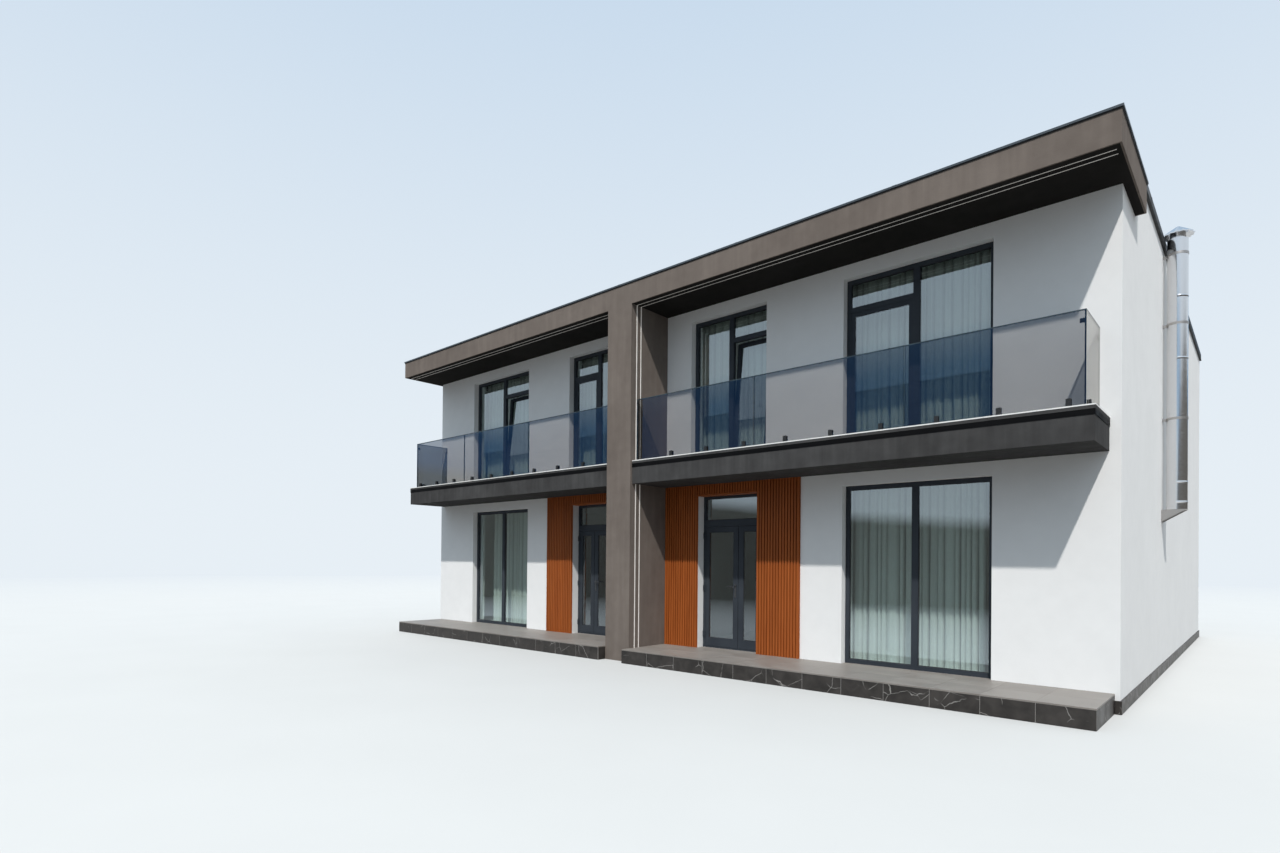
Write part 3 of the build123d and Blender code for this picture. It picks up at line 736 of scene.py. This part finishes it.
def build_roofing():
    low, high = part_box("roof_slab")
    bm = bmesh.new()
    for x in even_cuts(low.x, high.x, lap_pitch)[1:-1]:
        add_box(bm, (x, x + lap_width), (low.y, high.y), (high.z, high.z + lap_height))
    upstand = (high.z, high.z + upstand_height)
    for x, way in ((low.x, 1), (high.x, -1)):
        add_box(bm, (x, x + way * lap_height), (low.y, high.y), upstand)
    for y, way in ((low.y, 1), (high.y, -1)):
        add_box(bm, (low.x + lap_height, high.x - lap_height), (y, y + way * lap_height), upstand)
    place_piece("roofing_laps", bm, finishes["roof_membrane"])


# Glazing beads and seals around every pane, on both faces

bead_width = 0.004
bead_height = 0.010
seal_width = 0.005
seal_height = 0.004
crest_share = 0.6
edge_tolerance = 1e-4


def pane_faces(points):
    """The two large faces of a rectangular pane: four corners in order, and the outward normal."""
    centre = sum(points, Vector()) / len(points)
    spans = [high - low for low, high in limits_of(points)]
    thin = min(range(3), key=lambda i: spans[i])
    others = [i for i in range(3) if i != thin]
    upper = [p for p in points if p.z > centre.z]
    lower = [p for p in points if p.z <= centre.z]
    along = others[0]
    faces = []
    for pick in (min, max):
        corners = []
        for group, order in ((lower, (min, max)), (upper, (max, min))):
            for side in order:
                edge = side(p[along] for p in group)
                near = [p for p in group if abs(p[along] - edge) < edge_tolerance]
                corners.append(pick(near, key=lambda p: p[thin]))
        normal = (corners[1] - corners[0]).cross(corners[3] - corners[0]).normalized()
        middle = sum(corners, Vector()) / 4
        if normal.dot(middle - centre) < 0:
            normal.negate()
        faces.append((corners, normal))
    return faces


def add_rim(bm, corners, normal, start, width, height):
    """A low strip with a sloped inner face, laid inside a four-cornered outline."""
    lift = normal * height
    crest = start + width * crest_share
    rings = []
    for inset, rise in ((start, 0.0), (start, 1.0), (crest, 1.0), (start + width, 0.0)):
        ring = []
        for i, corner in enumerate(corners):
            to_next = (corners[(i + 1) % 4] - corner).normalized()
            to_last = (corners[i - 1] - corner).normalized()
            ring.append(bm.verts.new(corner + (to_next + to_last) * inset + lift * rise))
        rings.append(ring)
    for inner, outer in zip(rings, rings[1:] + rings[:1]):
        for i in range(4):
            j = (i + 1) % 4
            bm.faces.new((inner[i], inner[j], outer[j], outer[i]))


def build_seals():
    panes_of_body = {HOUSE: ["front_glass", "rear_glass"]}
    for side in SIDES:
        for door in DOORS:
            panes_of_body[f"{side}_{door}_door"] = [f"{side}_{door}_door_glass"]
    for body, nodes in panes_of_body.items():
        seals = bmesh.new()
        beads = bmesh.new()
        for node in nodes:
            for points in solids_of(node):
                for corners, normal in pane_faces(points):
                    add_rim(beads, corners, normal, 0.0, bead_width, bead_height)
                    add_rim(seals, corners, normal, bead_width, seal_width, seal_height)
        slot = "anthracite_frame"
        place_piece(f"{body}_glazing_beads", beads, finishes[slot], body)
        place_piece(f"{body}_pane_seals", seals, seal_rubber_and_painted_shade, body)


# Hinge housings on the entrance frames, beside the hinge pins

frame_depth = 0.075
hinge_levels = (0.479, 1.299, 2.236)
housing_width = 0.028
housing_depth = 0.022
housing_half_height = 0.052
housing_inset = 0.006
housing_bevel = 0.003


def build_hinge_housings():
    """A raised housing on the frame's face at the height of each hinge."""
    bm = bmesh.new()
    for side in SIDES:
        low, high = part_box(f"{side}_door_frame")
        face = high.y - frame_depth
        for height in hinge_levels:
            zs = (height - housing_half_height, height + housing_half_height)
            for edge, way in ((low.x, 1), (high.x, -1)):
                xs = (edge + way * housing_inset, edge + way * (housing_inset + housing_width))
                add_box(bm, xs, (face - housing_depth, face), zs, housing_bevel)
    place_piece("hinge_housings", bm, finishes["anthracite_frame"])


# Glass guard: cut edges and clamp bolts

edge_skin = 0.0008
edge_band = 0.013
bolt_radius = 0.007
bolt_height = 0.004
bolt_sides = 6
bolt_taper = 0.9
bolt_level = 0.62
clamp_height = 0.08


def build_guard_edges():
    """The dark polished edge that shows along the top and ends of each pane."""
    for side in SIDES:
        bm = bmesh.new()
        for points in solids_of(f"{side}_guard"):
            (x_low, x_high), (y_low, y_high), (z_low, z_high) = limits_of(points)
            around_x = (x_low - edge_skin, x_high + edge_skin)
            around_y = (y_low - edge_skin, y_high + edge_skin)
            add_box(bm, around_x, around_y, (z_high - edge_band, z_high + edge_skin))
            if x_high - x_low > y_high - y_low:
                for x in (x_low, x_high):
                    skin = (x - edge_skin / 2, x + edge_skin / 2)
                    add_box(bm, skin, (y_low, y_high), (z_low, z_high))
            else:
                for y in (y_low + edge_skin, y_high - edge_skin):
                    skin = (y - edge_skin / 2, y + edge_skin / 2)
                    add_box(bm, (x_low, x_high), skin, (z_low, z_high))
        place_piece(f"{side}_guard_edges", bm, guard_edge_finish)


def add_bolt(bm, centre, axis):
    """A low bolt head standing on a face."""
    turn = Vector((0, 0, 1)).rotation_difference(Vector(axis)).to_matrix().to_4x4()
    place = Matrix.Translation(Vector(centre) + Vector(axis) * bolt_height / 2) @ turn
    radii = {"radius1": bolt_radius, "radius2": bolt_radius * bolt_taper}
    bmesh.ops.create_cone(
        bm, cap_ends=True, segments=bolt_sides, depth=bolt_height, matrix=place, **radii
    )


def build_clamp_bolts():
    """A bolt on both faces of each base clamp. The shorter connectors have none."""
    bm = bmesh.new()
    for points in solids_of("guard_clamps"):
        (x_low, x_high), (y_low, y_high), (z_low, z_high) = limits_of(points)
        if z_high - z_low < clamp_height:
            continue
        x, y = (x_low + x_high) / 2, (y_low + y_high) / 2
        z = z_low + (z_high - z_low) * bolt_level
        along_front = x_high - x_low < y_high - y_low
        if along_front:
            for face, way in ((y_low, -1), (y_high, 1)):
                add_bolt(bm, (x, face, z), (0, way, 0))
        else:
            for face, way in ((x_low, -1), (x_high, 1)):
                add_bolt(bm, (face, y, z), (way, 0, 0))
    place_piece("clamp_bolts", bm, finishes["black_fitting"])


# Curtains

fold_pitch = 0.120
fold_spread = (0.5, 1.6)
fold_lean = 0.014
valley_shares = (0.1, 0.55, 1.0)
front_share = 0.86
front_roundness = 0.45
pleat_share = 0.12
pleats_per_fold = 5
heading_share = 0.6
heading_fall = 2.2
heading_curve = 0.8
curtain_rows = 22
points_per_fold = 16
fabric_allowance = 0.006
drawn_short = 0.33
inner_window_reach = 2.0
first_seed = 5


def fold_centres(start, end, rng):
    """Uneven fold positions along the rail."""
    edges = [start]
    while edges[-1] < end:
        edges.append(edges[-1] + fold_pitch * rng.uniform(*fold_spread))
    scale = (end - start) / (edges[-1] - start)
    return [start + (edge - start) * scale for edge in edges]


def hang_curtain(name, node, limits, trim_outer, seed):
    """A sheer in upright folds: broad fronts, narrow deep valleys, shallower at its heading."""
    rng = random.Random(seed)
    (x_low, x_high), (y_low, y_high), (z_low, z_high) = limits
    outward = 1 if x_high > 0 else -1
    if outward > 0:
        x_high -= trim_outer
    else:
        x_low += trim_outer
    roomward = 1 if y_low < 0 else -1
    edges = fold_centres(x_low, x_high, rng)
    valleys = [rng.choice(valley_shares) for _ in edges]
    leans = [rng.uniform(-fold_lean, fold_lean) for _ in edges]
    middle = (y_low + y_high) / 2
    reach = (y_high - y_low) / 2 - fabric_allowance
    bm = bmesh.new()
    rows = []
    for row in range(curtain_rows + 1):
        fall = row / curtain_rows
        z = z_high + (z_low - z_high) * fall
        opened = min(1.0, fall * heading_fall) ** heading_curve
        depth = reach * (heading_share + (1 - heading_share) * opened)
        line = []
        for fold, (low, high) in enumerate(zip(edges, edges[1:])):
            for step in range(points_per_fold):
                turn = 0.5 - 0.5 * math.cos(math.pi * step / points_per_fold)
                valley = valleys[fold] + (valleys[fold + 1] - valleys[fold]) * turn
                lean = (leans[fold] + (leans[fold + 1] - leans[fold]) * turn) * fall
                front = math.sin(math.pi * turn) ** front_roundness
                pleat = pleat_share * math.sin(pleats_per_fold * math.pi * turn) * front
                x = low + (high - low) * turn + lean
                wave = valley * (1 - front) - front * (front_share - pleat)
                y = middle + roomward * depth * wave
                line.append(bm.verts.new((min(max(x, x_low), x_high), y, z)))
        line.append(bm.verts.new((x_high, middle, z)))
        rows.append(line)
    area = 0.0
    for upper, lower in zip(rows, rows[1:]):
        for i in range(len(upper) - 1):
            face = bm.faces.new((upper[i], lower[i], lower[i + 1], upper[i + 1]))
            area += face.calc_area()
    slot = "sheer_fabric"
    piece = place_piece(name, bm, finishes[slot], replaces=[node], smooth=True)


def build_curtains():
    """One sheer behind each window. The ground-floor front one stops short of its outer jamb."""
    storey_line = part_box("upper_floor_slab")[0].z
    for side in SIDES:
        node = f"{side}_curtains"
        for number, points in enumerate(solids_of(node)):
            limits = limits_of(points)
            wall_name = "front" if limits[1][0] < 0 else "rear"
            storey = "ground" if limits[2][0] < storey_line else "upper"
            place = "inner" if min(abs(x) for x in limits[0]) < inner_window_reach else "outer"
            name = f"{side}_{wall_name}_{storey}_{place}_sheer"
            trim = drawn_short if wall_name == "front" and storey == "ground" else 0.0
            hang_curtain(name, node, limits, trim, seed=first_seed + number)


build_cladding()
tile_decks("porch", "porch_tiles", "porch_tile", joint_mortar)
balcony_bed = finishes["charcoal_render"]
tile_decks("balcony", "balcony_tiles", "grey_tile", balcony_bed, balcony_tile_depth)
build_porch_risers()
build_plinths()
build_sills()
build_visor_caps()
build_straps()
build_roofing()
build_seals()
build_hinge_housings()
build_guard_edges()
build_clamp_bolts()
build_curtains()


# Floor, backdrop and light

# What the eye sees
horizon_tone = (0.80, 0.865, 0.92)
overhead_tone = (0.34, 0.53, 0.76)
overhead_curve = 1.7
floor_tone = (0.58, 0.578, 0.565)
floor_clouds = 0.98
floor_radius = 400.0
floor_sides = 96
floor_drop = 0.002
seen_fade = (26.0, 70.0)

# What lights the house
fill_low = (0.215, 0.262, 0.312)
fill_high = (0.86, 1.04, 1.20)
side_fill = (1.24, 1.19, 1.13)
side_fill_turn = (0.0, 0.35)
floor_bounce = (0.16, 0.153, 0.142)
sun_strength = 3.3
sun_width = math.radians(1.2)
sun_colour = (1.0, 0.97, 0.93)
sun_towards = Vector((0.393, -0.672, 1.0))

# What mirrors see: heights are the upward part of a direction, slopes are taken over Y
skyline_tone = (0.13, 0.125, 0.115)
skyline_height, skyline_rise, skyline_blur = 0.045, 0.11, 0.009
right_skyline, right_skyline_turn = 0.11, (0.05, 0.4)
clear_sky = (0.27, 0.45, 0.66)
clear_from, clear_to = (0.135, 0.180), (0.275, 0.330)
mirrored_fade = (12.0, 26.0)


def seen_rays(s):
    """1 where the eye, a mirror or a pane looks straight at the surroundings."""
    path = s.node("ShaderNodeLightPath").outputs
    return s.math("MAXIMUM", path["Is Camera Ray"], mirror_rays(s))


def mirror_rays(s):
    """1 where a mirror or a pane looks at the surroundings."""
    path = s.node("ShaderNodeLightPath").outputs
    return s.math("MAXIMUM", path["Is Glossy Ray"], path["Is Transmission Ray"])


class WorldShader(Shader):
    """The same short calls for the backdrop's nodes."""

    def __init__(self, name):
        world = bpy.data.worlds.new(name)
        bpy.context.scene.world = world
        world.use_nodes = True
        self.material = world
        self.tree = world.node_tree
        self.tree.nodes.clear()
        self.output = self.tree.nodes.new("ShaderNodeOutputWorld")
        self.place = self.node("ShaderNodeTexCoord").outputs["Generated"]


def build_world():
    """A pale backdrop for the eye, another for mirrors, and a plain fill light.

    Mirrors see a low dark skyline and a clear blue band above it. The fill is brighter beside
    the house, from behind its front, so that the side walls read pale."""
    s = WorldShader("studio")
    direction = s.node("ShaderNodeSeparateXYZ", {0: s.place}).outputs
    height = direction["Z"]
    backdrop = s.mix(s.math("POWER", height, overhead_curve), horizon_tone, overhead_tone)
    sideways = s.math("MULTIPLY", direction["X"], direction["X"])

    low_line = s.spread(sideways, 0.0, 1.0, skyline_height, skyline_height + skyline_rise)
    right_line = s.spread(direction["X"], *right_skyline_turn, 0.0, right_skyline)
    above = s.math("SUBTRACT", height, s.math("ADD", low_line, right_line))
    slope = s.math("DIVIDE", height, s.math("ABSOLUTE", direction["Y"]))
    band_foot, band_head = s.spread(slope, *clear_from), s.spread(slope, *clear_to, 1.0, 0.0)
    mirrored_sky = s.mix(s.math("MULTIPLY", band_foot, band_head), backdrop, clear_sky)
    mirrored = s.mix(s.spread(above, -skyline_blur, skyline_blur), skyline_tone, mirrored_sky)

    beside = s.math("MULTIPLY", sideways, s.spread(direction["Y"], *side_fill_turn))
    fill = s.mix(beside, s.mix(height, fill_low, fill_high), side_fill)
    unseen = s.mix(mirror_rays(s), fill, mirrored)
    eye = s.node("ShaderNodeLightPath").outputs["Is Camera Ray"]
    shown = s.mix(eye, unseen, backdrop)
    s.end(s.node("ShaderNodeBackground", {"Color": shown}).outputs[0])


def floor_material():
    """Pale floor that fades into the backdrop far away, and for mirrors into the skyline."""
    s = Shader("studio_floor")
    distance = s.node("ShaderNodeVectorMath", {0: s.place}, operation="LENGTH").outputs["Value"]
    eye = s.node("ShaderNodeLightPath").outputs["Is Camera Ray"]
    seen = s.math("MULTIPLY", s.spread(distance, *seen_fade), eye)
    mirrored = s.math("MULTIPLY", s.spread(distance, *mirrored_fade), mirror_rays(s))
    fade = s.math("MAXIMUM", seen, mirrored)
    tone = s.spread(s.noise(0.6, detail=3.0), 0.3, 0.7)
    shown = s.mix(tone, tuple(floor_clouds * c for c in floor_tone), floor_tone)
    colour = s.mix(seen_rays(s), floor_bounce, shown)
    matt = {"Base Color": colour, "Roughness": 0.9}
    ground = s.node("ShaderNodeBsdfPrincipled", matt).outputs[0]
    backdrop = s.mix(mirror_rays(s), horizon_tone, skyline_tone)
    away = s.node("ShaderNodeEmission", {"Color": backdrop}).outputs[0]
    return s.end(s.node("ShaderNodeMixShader", {0: fade, 1: ground, 2: away}).outputs[0])


def build_floor():
    bm = bmesh.new()
    bmesh.ops.create_circle(bm, cap_ends=True, segments=floor_sides, radius=floor_radius)
    mesh = bpy.data.meshes.new("studio_floor")
    bm.to_mesh(mesh)
    bm.free()
    mesh.materials.append(floor_material())
    floor = bpy.data.objects.new("studio_floor", mesh)
    floor.location.z = -floor_drop
    bpy.context.scene.collection.objects.link(floor)


def build_sun():
    light = bpy.data.lights.new("soft_key", "SUN")
    light.energy = sun_strength
    light.angle = sun_width
    light.color = sun_colour
    lamp = bpy.data.objects.new("soft_key", light)
    lamp.rotation_euler = sun_towards.to_track_quat("Z", "Y").to_euler()
    bpy.context.scene.collection.objects.link(lamp)


# Camera solved from the photograph's straight edges

camera_place = Vector((8.592, -16.188, 1.760))
camera_yaw = 0.73543
camera_pitch = 0.00504
camera_roll = 0.00867
image_width, image_height = 1280, 853
focal_pixels = 695.19
sensor_width = 36.0
principal_x, horizon_y = 638.54, 558.255
view_reach = 1000.0


def build_camera():
    data = bpy.data.cameras.new("view")
    data.sensor_width = sensor_width
    data.lens = focal_pixels * sensor_width / image_width
    data.shift_x = (image_width / 2 - principal_x) / image_width
    data.shift_y = (horizon_y - image_height / 2) / image_width
    data.clip_end = view_reach
    camera = bpy.data.objects.new("view", data)
    turn = (
        Matrix.Rotation(camera_yaw, 4, "Z")
        @ Matrix.Rotation(math.pi / 2 + camera_pitch, 4, "X")
        @ Matrix.Rotation(camera_roll, 4, "Z")
    )
    camera.matrix_world = Matrix.Translation(camera_place) @ turn
    bpy.context.scene.collection.objects.link(camera)
    bpy.context.scene.camera = camera


build_world()
build_floor()
build_sun()
build_camera()
bpy.context.scene.view_settings.view_transform = "Standard"
